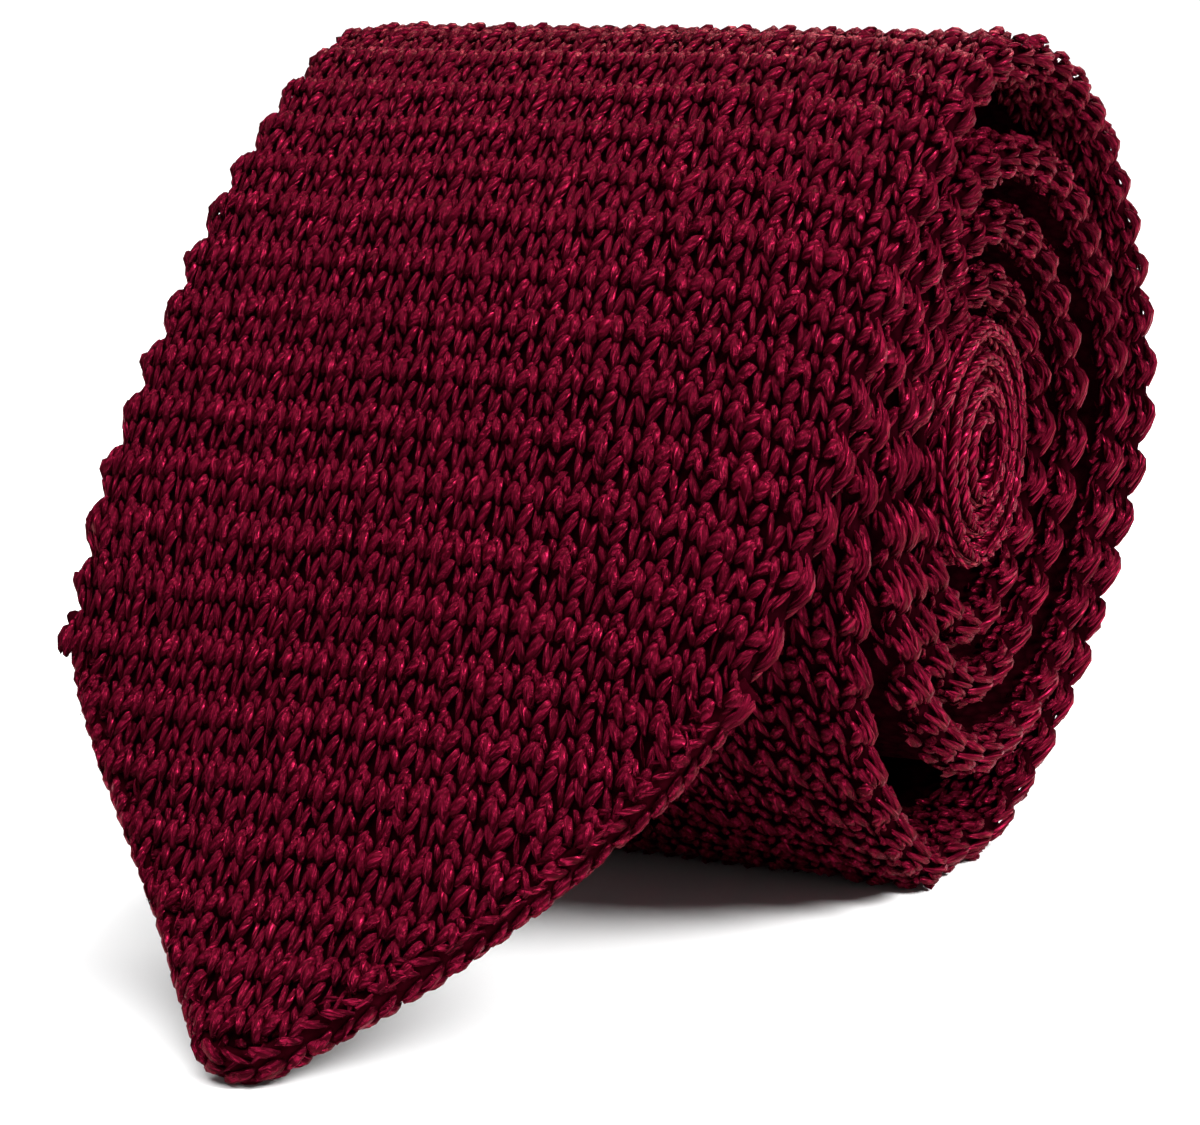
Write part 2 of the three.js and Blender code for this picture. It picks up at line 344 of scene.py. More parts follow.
# A leg's outline from top to foot: level, thickness and outward bulge, as shares of its half size
legRings = {
    6: [
        (0.88, 0.68, 0.02), (0.50, 0.96, 0.10), (0.0, 1.0, 0.16), (-0.50, 0.94, 0.14),
        (-0.86, 0.62, 0.04)],
    5: [(0.84, 0.72, 0.03), (0.40, 1.0, 0.12), (-0.28, 0.96, 0.18), (-0.76, 0.62, 0.05)],
    4: [(0.80, 0.74, 0.05), (0.10, 1.0, 0.18), (-0.68, 0.70, 0.05)],
    3: [(0.48, 0.96, 0.14), (-0.42, 0.84, 0.08)],
}


def addLeg(bm, top, foot, wide, thick, sides, levels):
    # one leg of a stitch: a plump upper part, a bulge outwards and a slim foot
    made = bmesh.ops.create_uvsphere(
        bm, u_segments=sides, v_segments=levels, radius=1, calc_uvs=True)
    for vert in made["verts"]:
        if abs(vert.co.z) < 0.95:
            rings = legRings[levels]
            level, plump, bulge = min(rings, key=lambda row: abs(row[0] - vert.co.z))
            radius = math.hypot(vert.co.x, vert.co.y)
            vert.co.x *= plump / radius
            vert.co.y = vert.co.y * plump / radius + bulge
            vert.co.z = level
    top, foot = Vector(top), Vector(foot)
    along = (top - foot) / 2
    side = along.cross(Vector((0, 0, 1))).normalized()
    out = side.cross(along).normalized()
    turn = Matrix((side * wide / 2, out * thick / 2, along)).transposed().to_4x4()
    place = Matrix.Translation((top + foot) / 2)
    bmesh.ops.transform(bm, matrix=place @ turn, verts=made["verts"])


def makeUnit(name, legs, sides, levels):
    # the stitches that are repeated: rows of top, foot, width and thickness
    bm = bmesh.new()
    bm.loops.layers.uv.new("yarn")
    for top, foot, wide, thick in legs:
        addLeg(bm, top, foot, wide, thick, sides, levels)
    for face in bm.faces:
        face.smooth = True
    mesh = bpy.data.meshes.new(name)
    bm.to_mesh(mesh)
    bm.free()
    return mesh


def ribbedUnit(sides, levels):
    # two columns wide and two ribs long, the kinds changing places from rib to rib
    legs = []
    pitch = tie["ribPitch"]
    for rib in range(2):
        for column in range(2):
            rows = tuckedColumn if (rib + column) % 2 == 0 else longColumn
            for topPlace, footPlace, wide, high, low in rows:
                middle, start = column + 0.5, rib + 1
                top = ((middle + topPlace[0]) * wale, (start - topPlace[1]) * pitch, high)
                foot = ((middle + footPlace[0]) * wale, (start - footPlace[1]) * pitch, low)
                legs.append((top, foot, wide * wale, wide * wale))
    return makeUnit("ribbedUnit", legs, sides, levels)


def arrayed(name, unit, stepAcross, across, stepAlong, along):
    # the unit repeated across and along, as one plain mesh
    holder = bpy.data.objects.new(name, unit)
    bpy.context.collection.objects.link(holder)
    for count, step in ((across, (stepAcross, 0, 0)), (along, (0, stepAlong, 0))):
        array = holder.modifiers.new("repeat", "ARRAY")
        array.use_relative_offset = False
        array.use_constant_offset = True
        array.constant_offset_displace = step
        array.count = count
    graph = bpy.context.evaluated_depsgraph_get()
    mesh = bpy.data.meshes.new_from_object(holder.evaluated_get(graph))
    bpy.data.objects.remove(holder)
    mesh.name = name
    return mesh


def meshPoints(mesh):
    flat = np.empty(len(mesh.vertices) * 3, np.float32)
    mesh.vertices.foreach_get("co", flat)
    return flat.reshape(-1, 3).astype(float)


def dropLegs(mesh, perLeg, kept):
    # takes out the legs that lie past the outline
    bm = bmesh.new()
    bm.from_mesh(mesh)
    bm.verts.ensure_lookup_table()
    gone = [bm.verts[i] for i in np.flatnonzero(~np.repeat(kept, perLeg))]
    bmesh.ops.delete(bm, geom=gone, context="VERTS")
    bm.to_mesh(mesh)
    bm.free()


def loosen(points, perLeg, shift, swell):
    # every leg a little out of place and a little thicker or thinner
    legs = points.reshape(-1, perLeg, 3)
    middle = legs.mean(axis=1, keepdims=True)
    size = 1 + swell * dice.standard_normal((len(legs), 1, 1)).clip(-2, 2)
    moved = dice.standard_normal((len(legs), 1, 3)).clip(-2, 2) * np.array(shift)
    return ((legs - middle) * size + middle + moved).reshape(-1, 3)


def wander(across, along, size, seed):
    # slow, even wandering of the rows and columns
    phases = np.random.default_rng(seed).uniform(0, 2 * math.pi, 6)
    waves = [
        (0.11, 0.07), (-0.19, 0.13), (0.31, 0.05), (0.07, -0.23), (0.43, 0.29), (-0.37, 0.41)]
    total = sum(
        np.sin(kx * across + ky * along + phase) for (kx, ky), phase in zip(waves, phases))
    return size * total / 2.4


def finishPiece(name, mesh, material):
    piece = bpy.data.objects.new(name, mesh)
    bpy.context.collection.objects.link(piece)
    mesh.materials.clear()
    mesh.materials.append(material)
    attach(piece, "root")
    return piece


def layStitches(name, mesh, perLeg, places, material):
    mesh.vertices.foreach_set("co", places.ravel().astype(np.float32))
    # a value for each leg, so that no two legs have quite the same shade
    tones = np.repeat(dice.uniform(0, 1, len(mesh.vertices) // perLeg), perLeg)
    tone = mesh.attributes.new("legTone", "FLOAT", "POINT")
    tone.data.foreach_set("value", tones.astype(np.float32))
    mesh.update()
    return finishPiece(name, mesh, material)


def stretched(across):
    inner = np.abs(across) < foldMiddle
    return np.where(inner, np.interp(across, evenPlaces, truePlaces), across)


def insetFromPoint(x, length):
    # how far inside the point's outline a place lies, its tip rounded
    straight = (sideOfPoint(length, 0) - np.abs(x)) * math.cos(sideSlope)
    fromTip = tie["tipRadius"] + tie["hemWidth"] / 2 - np.hypot(x, tie["tipRadius"] - length)
    return np.where(length < tie["tipRadius"], np.minimum(straight, fromTip), straight)


def ribbedKnit(name, unit, firstPair, pairs, fromLength, longPairs, material, inRollOnly=False):
    perLeg = len(unit.vertices) // (2 * (len(tuckedColumn) + len(longColumn)))
    mesh = arrayed(name, unit, 2 * wale, pairs, 2 * tie["ribPitch"], longPairs)
    points = meshPoints(mesh)
    points[:, 0] += firstPair * 2 * wale
    points[:, 1] += fromLength
    middle = points.reshape(-1, perLeg, 3).mean(axis=1)
    wrap = tubeRound * np.round(middle[:, 0] / tubeRound)
    middle[:, 0] -= wrap
    points[:, 0] = stretched(points[:, 0] - np.repeat(wrap, perLeg))
    middle[:, 0] = stretched(middle[:, 0])
    bowed = middle[:, 1] - bowAt(middle[:, 1], middle[:, 0])
    edge = np.abs(middle[:, 0])
    back = edge > foldMiddle
    x = np.where(back, tubeRound / 2 - edge, np.minimum(edge, bladeFlat + 1.6))
    inset = insetFromPoint(x, bowed)
    least = np.where(back, hemInset + knit["backInset"], knit["overHem"])
    inside = (bowed > cornerLength + 1) | (inset > least)
    inside &= np.abs(edge - foldMiddle) > rim["reach"]
    if inRollOnly:
        inside &= np.abs(edge - foldMiddle) < rim["clear"]
    if not inside.all():
        mesh.vertices.foreach_set("co", points.ravel().astype(np.float32))
        dropLegs(mesh, perLeg, inside)
        points = meshPoints(mesh)
    shift = (knit["jitter"] * wale, knit["jitter"] * tie["ribPitch"] / 2, 0.03)
    points = loosen(points, perLeg, shift, knit["swell"])
    across, along, out = points.T
    shiftedAcross = across + wander(across, along, knit["wander"][0], 3)
    shiftedAlong = along + wander(across, along, knit["wander"][1], 4)
    # near the point's outline the knit rolls over the hem
    inset = insetFromPoint(across, shiftedAlong - bowAt(shiftedAlong, across))
    nearPoint = (np.abs(across) < bladeFlat) & (along < cornerLength + 3)
    sunk = np.clip(knit["rollOffFrom"] - inset, 0, knit["rollOffReach"])
    out = out - knit["rollOff"] * np.where(nearPoint, sunk, 0) ** 2
    past = np.where(nearPoint, np.maximum(0, knit["tuckFrom"] - inset), 0)
    drawnIn = knit["tuck"] * np.sign(across) * past / math.cos(sideSlope)
    shiftedAcross = shiftedAcross - drawnIn
    places = onBlade(shiftedAcross, shiftedAlong, out - knit["depth"])
    return layStitches(name, mesh, perLeg, places, material)


# Round each of the tube's two folds runs a chain of long loops with stitches on both sides of it
rim = {
    "reach": 2.0,         # how far from the fold's middle they go, in millimetres
    "clear": 3.5,         # inside the roll no others are made past this
    "start": {1: -3.2, -1: 1.5},  # where they begin, from the corner, on the right and left
}
# top and foot of a leg, across in millimetres and down in ribs, width, and the heights of both
rimLegs = [
    ((-0.80, 0.34), (-0.10, 1.20), 0.74, 0.02, -0.30),
    ((0.84, 0.40), (0.16, 1.26), 0.76, 0.05, -0.28),
    ((2.15, 0.42), (1.60, 0.84), 0.68, 0.02, -0.24),
    ((1.15, 0.50), (1.60, 0.92), 0.66, -0.08, -0.30),
    ((2.00, -0.06), (1.35, 0.36), 0.66, -0.18, -0.45),
    ((-2.15, 0.46), (-1.55, 0.88), 0.68, 0.02, -0.24),
    ((-1.10, 0.54), (-1.60, 0.96), 0.66, -0.08, -0.30),
    ((-2.00, -0.02), (-1.30, 0.40), 0.66, -0.18, -0.45),
]


def rimKnit(name, side, material):
    pitch = tie["ribPitch"]
    legs = [
        ((top[0], (1 - top[1]) * pitch, high), (foot[0], (1 - foot[1]) * pitch, low), wide, wide)
        for top, foot, wide, high, low in rimLegs]
    unit = makeUnit("rimUnit", legs, 6, 6)
    perLeg = len(unit.vertices) // len(legs)
    mesh = arrayed(name, unit, 1, 1, pitch, 2 * ribPairs)
    points = meshPoints(mesh)
    points[:, 1] += firstLength
    bowed = points[:, 1] - bowAt(points[:, 1], np.full(len(points), side * bladeFlat))
    kept = bowed.reshape(-1, perLeg).mean(axis=1) > cornerLength + rim["start"][side]
    mesh.vertices.foreach_set("co", points.ravel().astype(np.float32))
    dropLegs(mesh, perLeg, kept)
    points = loosen(meshPoints(mesh), perLeg, (0.06, 0.06, 0.03), knit["swell"])
    made = onBlade(side * (foldMiddle + points[:, 0]), points[:, 1], points[:, 2] - knit["depth"])
    # before the corner the loops follow the point's edge
    bowed = points[:, 1] - bowAt(points[:, 1], np.full(len(points), side * bladeFlat))
    made[:, 0] -= side * np.maximum(0, cornerLength + 0.5 - bowed) * math.tan(sideSlope) * mm
    if side < 0:
        mesh.flip_normals()
    return layStitches(name, mesh, perLeg, made, material)


# Materials

yarn = {
    "deep": (0.023, 0.0005, 0.0029, 1),
    "bright": (0.075, 0.0013, 0.0080, 1),
    # painted highlight: the filament lines are the yarn's own, but this light colour on them
    # paints sheen, most towards a leg's top
    "filamentSheen": (0.47, 0.011, 0.064, 1),
    # painted shade: each leg is darkened towards its foot, where it sinks between the others
    "foot": (0.012, 0.0003, 0.0016, 1),
    # painted shade: the ground seen between the legs, far darker than the yarn itself
    "ground": (0.012, 0.0004, 0.0018, 1),
    "hemShadeGround": (0.024, 0.0006, 0.0030, 1),
    "filaments": 5.0,     # lines round a leg
    "twist": 0.6,
    "legShare": 0.55,     # how much of the shade differs from leg to leg
    "patchShare": 0.5,    # and how much from place to place
    "sheenShare": 0.36,    # how far the lines go towards the painted sheen colour
}


def socket(group, name, kind, inOut, value=None):
    made = group.interface.new_socket(name=name, in_out=inOut, socket_type=kind)
    if value is not None:
        made.default_value = value
    return made


def mathNode(nodes, links, operation, first, second):
    node = nodes.new("ShaderNodeMath")
    node.operation = operation
    for index, value in enumerate((first, second)):
        if isinstance(value, (int, float)):
            node.inputs[index].default_value = value
        else:
            links.new(value, node.inputs[index])
    return node.outputs[0]


def mixColour(nodes, links, share, first, second):
    node = nodes.new("ShaderNodeMix")
    node.data_type = "RGBA"
    for name, value in (("Factor", share), ("A", first), ("B", second)):
        kind = "VALUE" if name == "Factor" else "RGBA"
        into = [s for s in node.inputs if s.name == name and s.type == kind][0]
        if hasattr(value, "is_output"):
            links.new(value, into)
        else:
            into.default_value = value
    return [s for s in node.outputs if s.type == "RGBA"][0]


def filamentGroup():
    # fine lines that run along a leg of yarn with a slight twist
    group = bpy.data.node_groups.new("filaments", "ShaderNodeTree")
    socket(group, "Yarn map", "NodeSocketVector", "INPUT")
    socket(group, "Leg tone", "NodeSocketFloat", "INPUT", 0.5)
    socket(group, "Count", "NodeSocketFloat", "INPUT", 8.0)
    socket(group, "Twist", "NodeSocketFloat", "INPUT", 0.5)
    socket(group, "Line", "NodeSocketFloat", "OUTPUT")
    nodes, links = group.nodes, group.links
    start, end = nodes.new("NodeGroupInput"), nodes.new("NodeGroupOutput")
    split = nodes.new("ShaderNodeSeparateXYZ")
    links.new(start.outputs["Yarn map"], split.inputs[0])
    lean = mathNode(nodes, links, "MULTIPLY", split.outputs[1], start.outputs["Twist"])
    turned = mathNode(nodes, links, "ADD", split.outputs[0], lean)
    across = mathNode(nodes, links, "MULTIPLY", turned, start.outputs["Count"])
    offset = mathNode(nodes, links, "MULTIPLY", start.outputs["Leg tone"], 37.0)
    place = nodes.new("ShaderNodeCombineXYZ")
    links.new(across, place.inputs[0])
    links.new(split.outputs[1], place.inputs[1])
    links.new(offset, place.inputs[2])
    noise = nodes.new("ShaderNodeTexNoise")
    noise.inputs["Scale"].default_value = 0.9
    noise.inputs["Detail"].default_value = 1.5
    links.new(place.outputs[0], noise.inputs["Vector"])
    sway = mathNode(nodes, links, "MULTIPLY", noise.outputs["Fac"], 9.0)
    cycles = mathNode(nodes, links, "MULTIPLY", across, 2 * math.pi)
    phase = mathNode(nodes, links, "ADD", cycles, sway)
    wave = mathNode(nodes, links, "SINE", phase, 0.0)
    ramp = nodes.new("ShaderNodeMapRange")
    ramp.inputs["From Min"].default_value = -0.5
    ramp.inputs["From Max"].default_value = 0.95
    links.new(wave, ramp.inputs["Value"])
    links.new(ramp.outputs["Result"], end.inputs["Line"])
    return group


def yarnMaterial(name, filaments, moreSheen):
    material = bpy.data.materials.new(name)
    material.use_nodes = True
    nodes, links = material.node_tree.nodes, material.node_tree.links
    shader = nodes["Principled BSDF"]
    shader.inputs["Metallic"].default_value = 0.5
    shader.inputs["Specular IOR Level"].default_value = 0.05
    shader.inputs["Specular Tint"].default_value = (1.0, 0.3, 0.4, 1)
    yarnMap = nodes.new("ShaderNodeUVMap")
    yarnMap.uv_map = "yarn"
    tone = nodes.new("ShaderNodeAttribute")
    tone.attribute_name = "legTone"
    fine = nodes.new("ShaderNodeGroup")
    fine.node_tree = filaments
    fine.inputs["Count"].default_value = yarn["filaments"]
    fine.inputs["Twist"].default_value = yarn["twist"]
    links.new(yarnMap.outputs[0], fine.inputs["Yarn map"])
    links.new(tone.outputs["Fac"], fine.inputs["Leg tone"])
    place = nodes.new("ShaderNodeTexCoord")
    cloud = nodes.new("ShaderNodeTexNoise")
    cloud.inputs["Scale"].default_value = 90.0
    cloud.inputs["Detail"].default_value = 2.0
    links.new(place.outputs["Object"], cloud.inputs["Vector"])
    spread = mathNode(nodes, links, "MULTIPLY", tone.outputs["Fac"], yarn["legShare"])
    patch = mathNode(nodes, links, "MULTIPLY", cloud.outputs["Fac"], yarn["patchShare"])
    shade = mathNode(nodes, links, "ADD", spread, patch)
    whole = mixColour(nodes, links, shade, yarn["deep"], yarn["bright"])
    along = nodes.new("ShaderNodeSeparateXYZ")
    links.new(yarnMap.outputs[0], along.inputs[0])
    # painted shade: the colour darkens from a leg's top towards its foot, and the painted sheen
    # fades with it
    litTowardsTop = nodes.new("ShaderNodeMapRange")
    litTowardsTop.inputs["From Min"].default_value = 0.05
    litTowardsTop.inputs["From Max"].default_value = 0.6
    links.new(along.outputs[1], litTowardsTop.inputs["Value"])
    body = mixColour(nodes, links, litTowardsTop.outputs["Result"], yarn["foot"], whole)
    # the filament lines are painted lighter as sheen, more so towards the leg's top
    lit = mathNode(nodes, links, "MULTIPLY", fine.outputs["Line"], litTowardsTop.outputs["Result"])
    lineShare = mathNode(nodes, links, "MULTIPLY", lit, yarn["sheenShare"] + moreSheen)
    colour = mixColour(nodes, links, lineShare, body, yarn["filamentSheen"])
    links.new(colour, shader.inputs["Base Color"])
    rough = nodes.new("ShaderNodeMapRange")
    rough.inputs["To Min"].default_value = 0.38
    rough.inputs["To Max"].default_value = 0.23
    links.new(fine.outputs["Line"], rough.inputs["Value"])
    links.new(rough.outputs["Result"], shader.inputs["Roughness"])
    bump = nodes.new("ShaderNodeBump")
    bump.inputs["Strength"].default_value = 0.8
    bump.inputs["Distance"].default_value = 0.00012
    links.new(fine.outputs["Line"], bump.inputs["Height"])
    links.new(bump.outputs[0], shader.inputs["Normal"])
    return material


def groundMaterial(name, base):
    # the inside of the knit seen between the legs, coloured dark as painted shade in the gaps and
    # mottled by cells
    material = bpy.data.materials.new(name)
    material.use_nodes = True
    nodes, links = material.node_tree.nodes, material.node_tree.links
    shader = nodes["Principled BSDF"]
    shader.inputs["Specular IOR Level"].default_value = 0.0
    place = nodes.new("ShaderNodeTexCoord")
    cells = nodes.new("ShaderNodeTexVoronoi")
    cells.inputs["Scale"].default_value = 900.0
    links.new(place.outputs["Object"], cells.inputs["Vector"])
    darker = tuple(0.3 * part for part in base[:3]) + (1,)
    colour = mixColour(nodes, links, cells.outputs["Distance"], base, darker)
    links.new(colour, shader.inputs["Base Color"])
    shader.inputs["Roughness"].default_value = 0.8
    bump = nodes.new("ShaderNodeBump")
    bump.inputs["Distance"].default_value = 0.0003
    links.new(cells.outputs["Distance"], bump.inputs["Height"])
    links.new(bump.outputs[0], shader.inputs["Normal"])
    return material


filaments = filamentGroup()
# the last value adds more painted sheen along the filament lines: most in the core, some on the
# hem
ribbedYarn = yarnMaterial("ribbedYarn", filaments, 0.0)
plainYarn = yarnMaterial("plainYarn", filaments, 0.12)
hemYarn = yarnMaterial("hemYarn", filaments, 0.05)
shadedGround = groundMaterial("knitGroundShade", yarn["ground"])
hemShadeGround = groundMaterial("hemShadeGround", yarn["hemShadeGround"])
print("materials made")


# Ground of the knit: a slim tube under the stitches, coloured dark as painted shade between them

ground = {
    "inset": 0.95,        # under the knit's outer surface
    "around": 36,
    "perRib": 3,
    "edge": 1.3,          # the folds' length, in half thicknesses
    "crowding": 2.2,      # how many of the points go round the two folds
    "tip": 3.1,           # radius of its rounded tip
    "leastTip": 0.6,      # squares and half widths aren't less than these
    "leastSide": 0.8,
}


def closeTube(bm, mesh):
    bmesh.ops.remove_doubles(bm, verts=bm.verts, dist=0.00001)
    bmesh.ops.holes_fill(bm, edges=[e for e in bm.edges if e.is_boundary], sides=0)
    bmesh.ops.recalc_face_normals(bm, faces=bm.faces)
    for face in bm.faces:
        face.smooth = True
    bm.to_mesh(mesh)
    bm.free()


def groundTube(name, start, end, steps, halfWidthAt, halfThickAt, bowed):
    # a grid rolled into a flattened tube, closed at both ends
    bm = bmesh.new()
    bmesh.ops.create_grid(bm, x_segments=ground["around"], y_segments=steps, size=0.5)
    for vert in bm.verts:
        vert.co.z = 0
    mesh = bpy.data.meshes.new(name)
    bm.to_mesh(mesh)
    points = meshPoints(mesh)
    turn = (points[:, 0] + 0.5) * 2 * math.pi
    length = start + (points[:, 1] + 0.5) * (end - start)
    thick, shifted = halfThickAt(length), length
    for _ in range(5 if bowed else 1):
        half = halfWidthAt(shifted)
        edge = np.minimum(thick * ground["edge"], 0.5 * half)
        flatShare = np.minimum(1, ground["crowding"] * np.abs(np.cos(turn)))
        x = np.sign(np.cos(turn)) * (half - edge) * flatShare
        x = x + edge * np.cos(turn)
        shifted = length - (bowAt(length, x) if bowed else 0)
    height = thick * np.sign(np.sin(turn)) * np.sqrt(np.clip(np.abs(np.sin(turn)), 0, 1))
    made = placed(x, shifted, height)
    for vert, place in zip(bm.verts, made):
        vert.co = place
    closeTube(bm, mesh)
    return mesh


def groundHalfWidth(length):
    full = fullHalfWidth(length) - ground["inset"] - tie["edgeScallop"] / 3
    side = np.maximum(sideOfPoint(length, hemInset - 1.0), ground["leastSide"])
    beforeArc = np.maximum(tie["tipRadius"] - length, 0)
    tip = np.sqrt(np.maximum(ground["tip"] ** 2 - beforeArc ** 2, ground["leastTip"]))
    return np.minimum(full, np.where(length < tie["tipRadius"], np.minimum(side, tip), side))


def groundHalfThick(length):
    thinning = smoothStep(neckLength - 3 * tie["ribPitch"], neckLength, length)
    half = (tie["thickness"] + (tie["neckThickness"] - tie["thickness"]) * thinning) / 2
    return half - ground["inset"] * (1 - 0.5 * thinning)


ribCount = round((neckLength - bandStart) / tie["ribPitch"])
bladeMesh = groundTube(
    "ribbed_band", 0.5, neckLength - tie["clearance"], ribCount * ground["perRib"],
    groundHalfWidth, groundHalfThick, True)
ribbedBand = finishPiece("ribbed_band", bladeMesh, shadedGround)
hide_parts("ribbed_blade")
print("ground of the blade made,", ribCount, "ribs")

# The stitches of the blade: outside as far as the first turn goes, inside the roll only near
# the two folds, and on the back of the free end
fineUnit = ribbedUnit(6, 5)
plainerUnit = ribbedUnit(5, 4)
coarseUnit = ribbedUnit(5, 3)
firstLength = bandStart - knit["ribsBefore"] * tie["ribPitch"]
pairPitch = 2 * tie["ribPitch"]
ribPairs = math.ceil((neckLength - firstLength) / pairPitch)
coveredLength = lengthAtTurn(1.06)
outerPairs = math.ceil((coveredLength - firstLength) / pairPitch)
rampPairs = math.ceil((lengthAtTurn(0.0) - firstLength) / pairPitch)
facePairs = 16
edgePairs = 4
backPairs = knit["wales"] // 2 - facePairs - 2 * edgePairs
print("pairs of ribs:", ribPairs, "outside:", outerPairs, "free end:", rampPairs)

cuts = [0, outerPairs // 3, 2 * outerPairs // 3, outerPairs]
for index, (low, high) in enumerate(zip(cuts, cuts[1:])):
    ribbedKnit(
        f"blade_face_{index + 1}", fineUnit if index == 0 else plainerUnit, -facePairs // 2,
        facePairs, firstLength + low * pairPitch, high - low, ribbedYarn)
for side, firstPair in (("right", facePairs // 2), ("left", -facePairs // 2 - edgePairs)):
    ribbedKnit(
        f"{side}_edge_outside", plainerUnit, firstPair, edgePairs,
        firstLength, outerPairs, ribbedYarn)
    ribbedKnit(
        f"{side}_edge_inside", plainerUnit, firstPair, edgePairs,
        firstLength + outerPairs * pairPitch, ribPairs - outerPairs, ribbedYarn, True)
    rimKnit(f"{side}_fold_loops", 1 if side == "right" else -1, ribbedYarn)
ribbedKnit(
    "blade_back", coarseUnit, facePairs // 2 + edgePairs, backPairs,
    firstLength, rampPairs, ribbedYarn)
print("stitches of the blade made")


# The plain band in the core

plain = {"wale": 1.9, "course": 1.6, "edgeWales": 4, "legWide": 0.68, "depth": 0.26}
courseCount = math.floor((lineLength - neckLength) / plain["course"])


def plainUnit():
    legs = []
    wide = plain["legWide"]
    for side in (-1, 1):
        top = ((0.5 + 0.44 * side) * plain["wale"], 1.45 * plain["course"], 0.08)
        foot = ((0.5 + 0.07 * side) * plain["wale"], -0.15 * plain["course"], -0.20)
        legs.append((top, foot, wide, wide))
    return makeUnit("plainUnit", legs, 6, 4)


def plainKnit(name, unit, side):
    perLeg = len(unit.vertices) // 2
    mesh = arrayed(name, unit, plain["wale"], plain["edgeWales"], plain["course"], courseCount)
    points = meshPoints(mesh)
    neckFold = neckFlat + foldLength(neckHalf, neckHalf) / 2
    points[:, 0] += side * neckFold - plain["edgeWales"] * plain["wale"] / 2
    points[:, 1] += neckLength
    points = loosen(points, perLeg, (0.05, 0.05, 0.02), 0.08)
    made = onNeck(points[:, 0], points[:, 1], points[:, 2] - plain["depth"])
    return layStitches(name, mesh, perLeg, made, plainYarn)


coreMesh = groundTube(
    "plain_band", neckLength, lineLength, courseCount,
    lambda length: np.full_like(length, tie["neckWidth"] / 2 - 0.45),
    lambda length: np.full_like(length, neckHalf - 0.35), False)
plainBand = finishPiece("plain_band", coreMesh, shadedGround)
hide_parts("plain_neck_band")
plainLegs = plainUnit()
coreStitches = [
    plainKnit(f"{name}_core_edge", plainLegs, side) for name, side in (("left", -1), ("right", 1))]
print("core made")


# The hem round the point: a core coloured dark as painted shade, and rows of larger stitches over
# it

hem = {"pitch": 1.7, "coreInset": 0.4, "depth": 0.3, "flatness": 0.9}
# top and foot of a leg, each outwards from the middle of the upper face in millimetres and
# along the hem in pitches, width in millimetres, and the heights of both
hemLegs = [
    ((-2.2, -0.50), (-0.3, 0.55), 0.84, 0.22, 0.10),
    ((0.3, -0.45), (1.5, 0.70), 0.72, 0.20, 0.00),
    ((2.8, -0.45), (1.9, 0.70), 0.80, 0.20, 0.05),
    ((3.0, -0.30), (3.9, 0.75), 0.70, 0.05, 0.00),
    ((4.3, 0.90), (5.0, -0.20), 0.62, -0.15, -0.15),
]
leftHemLegs = [
    ((-2.3, 0.05), (-0.4, 0.65), 0.82, 0.22, 0.10),
    ((-0.3, 0.00), (1.5, 0.60), 0.76, 0.20, 0.00),
    ((1.0, 0.38), (2.8, 1.00), 0.78, 0.14, 0.02),
    ((2.6, 0.05), (4.1, 0.75), 0.72, 0.05, 0.0),
    ((3.9, 0.45), (5.1, 1.05), 0.62, -0.15, -0.15),
]


def makeHem(name, rows, start, end):
    pitch, flatness = hem["pitch"], hem["flatness"]
    legs = [
        ((top[0], top[1] * pitch, high), (foot[0], foot[1] * pitch, low), wide, wide * flatness)
        for top, foot, wide, high, low in rows]
    unit = makeUnit("hemUnit", legs, 6, 5)
    perLeg = len(unit.vertices) // len(legs)
    count = round((end - start) / hem["pitch"])
    mesh = arrayed(name, unit, 1, 1, (end - start) / count, count)
    points = meshPoints(mesh)
    points[:, 1] += start
    points = loosen(points, perLeg, (0.10, 0.12, 0.05), 0.10)
    made = onHem(points[:, 0], points[:, 1], points[:, 2] - hem["depth"])
    return layStitches(name, mesh, perLeg, made, hemYarn)


def makeHemCore():
    bm = bmesh.new()
    bmesh.ops.create_grid(bm, x_segments=10, y_segments=70, size=0.5)
    mesh = bpy.data.meshes.new("hem_core")
    bm.to_mesh(mesh)
    points = meshPoints(mesh)
    made = onHem(
        (points[:, 0] + 0.5) * hemRound, points[:, 1] * 2 * hemReach,
        np.full(len(points), -hem["coreInset"]))
    for vert, place in zip(bm.verts, made):
        vert.co = place
    closeTube(bm, mesh)
    core = finishPiece("hem_core", mesh, hemShadeGround)
    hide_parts("point_hem")
    return core


hemCore = makeHemCore()
hemStitches = [
    makeHem("left_hem_stitches", leftHemLegs, -hemReach + 1.2, -2.0),
    makeHem("right_hem_stitches", hemLegs, -1.5, hemReach - 2.6),
]
print("hem made")


# Stage, lights and camera

stage = {
    "floorSize": 12.0,
    "floorColour": (0.93, 0.93, 0.93, 1),
    "overhead": {"source": (-0.12, -0.18, 1.0), "width": 1.05, "strength": 3.9},
    "right": {"place": (0.60, 0.02, 0.50), "aim": (0, 0, 0.03), "size": 0.35, "power": 10.5},
    "back": {"place": (-0.05, 0.60, 0.48), "aim": (0, 0, 0.05), "size": 0.3, "power": 2.2},
    "world": 0.20,
}
camera = {
    "place": (110.7, -228.5, 73.1),
    "target": (1.39, 1.24, 25.82),
    "focalPixels": 3259,
    "framePixels": 1200,
}


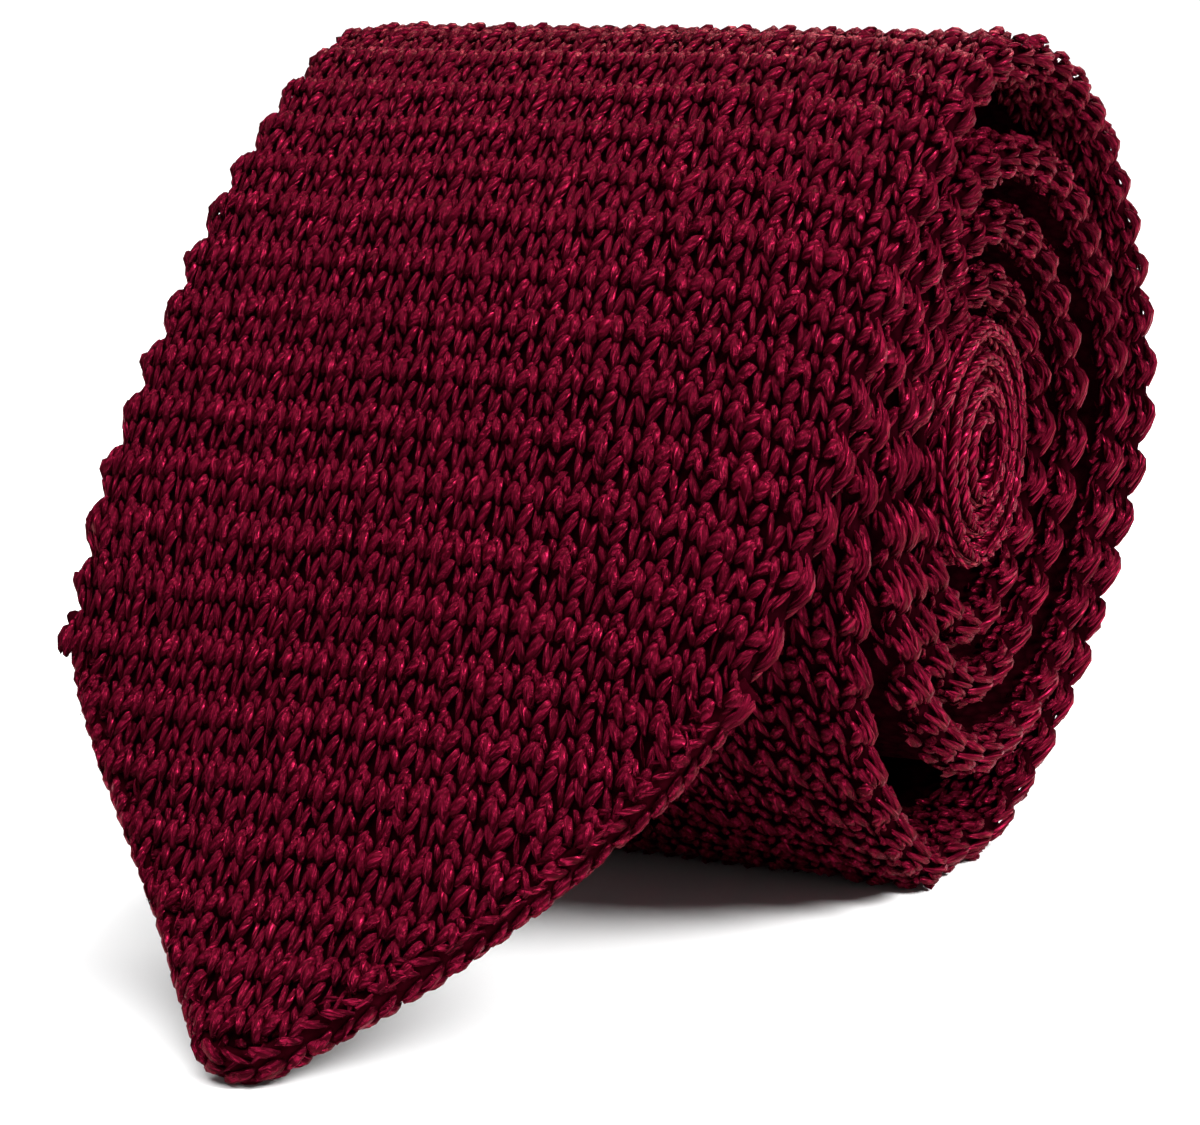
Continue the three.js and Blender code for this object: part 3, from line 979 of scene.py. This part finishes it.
def makeFloor():
    bm = bmesh.new()
    bmesh.ops.create_grid(bm, x_segments=1, y_segments=1, size=stage["floorSize"] / 2)
    mesh = bpy.data.meshes.new("floor")
    bm.to_mesh(mesh)
    bm.free()
    floor = bpy.data.objects.new("floor", mesh)
    bpy.context.collection.objects.link(floor)
    material = bpy.data.materials.new("paleFloor")
    material.use_nodes = True
    shader = material.node_tree.nodes["Principled BSDF"]
    shader.inputs["Base Color"].default_value = stage["floorColour"]
    shader.inputs["Roughness"].default_value = 0.9
    shader.inputs["Specular IOR Level"].default_value = 0.1
    mesh.materials.append(material)


def softLight(name, place, aim, size, power):
    light = bpy.data.lights.new(name, "AREA")
    light.shape = "DISK"
    light.size = size
    light.energy = power
    lamp = bpy.data.objects.new(name, light)
    bpy.context.collection.objects.link(lamp)
    lamp.location = place
    lamp.rotation_euler = (Vector(aim) - Vector(place)).to_track_quat("-Z", "Y").to_euler()


def makeCamera():
    lens = bpy.data.cameras.new("camera")
    lens.sensor_fit = "HORIZONTAL"
    lens.sensor_width = 36
    lens.lens = camera["focalPixels"] * 36 / camera["framePixels"]
    lens.clip_start = 0.01
    eye = bpy.data.objects.new("camera", lens)
    bpy.context.collection.objects.link(eye)
    place, target = Vector(camera["place"]) * mm, Vector(camera["target"]) * mm
    eye.location = place
    eye.rotation_euler = (target - place).to_track_quat("-Z", "Y").to_euler()
    bpy.context.scene.camera = eye


def softSun(name, source, width, strength):
    light = bpy.data.lights.new(name, "SUN")
    light.angle = width
    light.energy = strength
    lamp = bpy.data.objects.new(name, light)
    bpy.context.collection.objects.link(lamp)
    lamp.rotation_euler = Vector(source).to_track_quat("Z", "Y").to_euler()


makeFloor()
softSun("overheadLight", **stage["overhead"])
softLight("rightLight", **stage["right"])
softLight("backLight", **stage["back"])
world = bpy.data.worlds.new("softRoom")
world.use_nodes = True
world.node_tree.nodes["Background"].inputs["Color"].default_value = (1, 1, 1, 1)
world.node_tree.nodes["Background"].inputs["Strength"].default_value = stage["world"]
bpy.context.scene.world = world
bpy.context.scene.view_settings.view_transform = "Standard"
makeCamera()
print("stage, lights and camera made")
